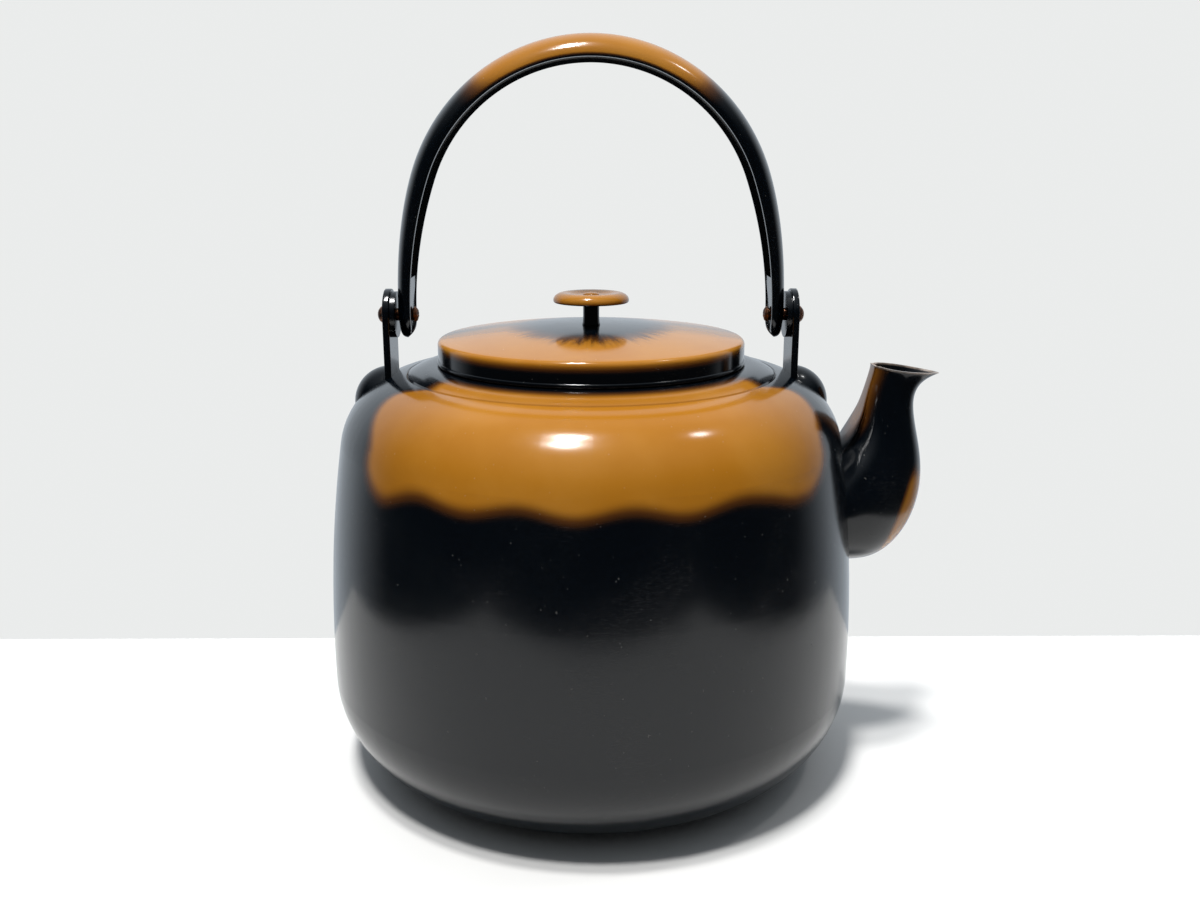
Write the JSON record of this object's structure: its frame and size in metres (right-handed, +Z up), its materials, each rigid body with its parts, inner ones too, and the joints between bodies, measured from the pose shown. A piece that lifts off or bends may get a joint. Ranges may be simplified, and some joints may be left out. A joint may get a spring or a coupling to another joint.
{
  "type": "water kettle",
  "caption": "Round-shouldered lacquered sheet-metal water kettle with a swan-neck spout, flat lift-off lid with a disc knob, and an arched bail handle that folds down on riveted lugs.",
  "frame": {"origin": "middle of the flat bottom, on the body's axis at table level", "axes": "+Z up along the body's axis, +X towards the spout, the bail stands in the XZ plane"},
  "size_m": [0.2038, 0.176, 0.2379],
  "materials": {
    "body": "glossy black lacquer with amber panels over copper",
    "mouth_ring": "glossy amber lacquer over copper",
    "spout": "glossy black lacquer with amber touches over copper",
    "lid": "glossy amber lacquer with a black middle and skirt",
    "knob_cap": "glossy amber lacquer over copper",
    "knob_post": "glossy black lacquer",
    "bare_copper": "dull copper",
    "bail": "glossy black lacquer with an amber grip",
    "lugs": "glossy black lacquer",
    "lug_rivets": "black lacquer outside, dull copper inside",
    "washers": "satin black lacquer",
    "pivot_rivets": "rubbed brown copper"
  },
  "bodies": {
    "kettle": {"body": "body", "mouth_ring": "mouth_ring", "spout": "spout", "lug_right": "lugs", "lug_left": "lugs", "lug_rivets_right": "lug_rivets", "lug_rivets_left": "lug_rivets", "spacer_washer_right": "washers", "spacer_washer_left": "washers", "pivot_rivet_right": "pivot_rivets", "pivot_rivet_left": "pivot_rivets"},
    "lid": {"lid": "lid", "knob_cap": "knob_cap", "knob_post": "knob_post", "knob_burr": "bare_copper"},
    "bail": {"bail_handle": "bail"}
  },
  "joints": [
    {"name": "bail_swing", "type": "hinge", "parent": "kettle", "child": "bail", "pos_m": [0, 0, 0.1506], "axis": [1, 0, 0], "range_deg": [-100, 100]},
    {"name": "lid_lift", "type": "slide", "parent": "kettle", "child": "lid", "axis": [0, 0, 1], "range_m": [0, 0.045]}
  ]
}
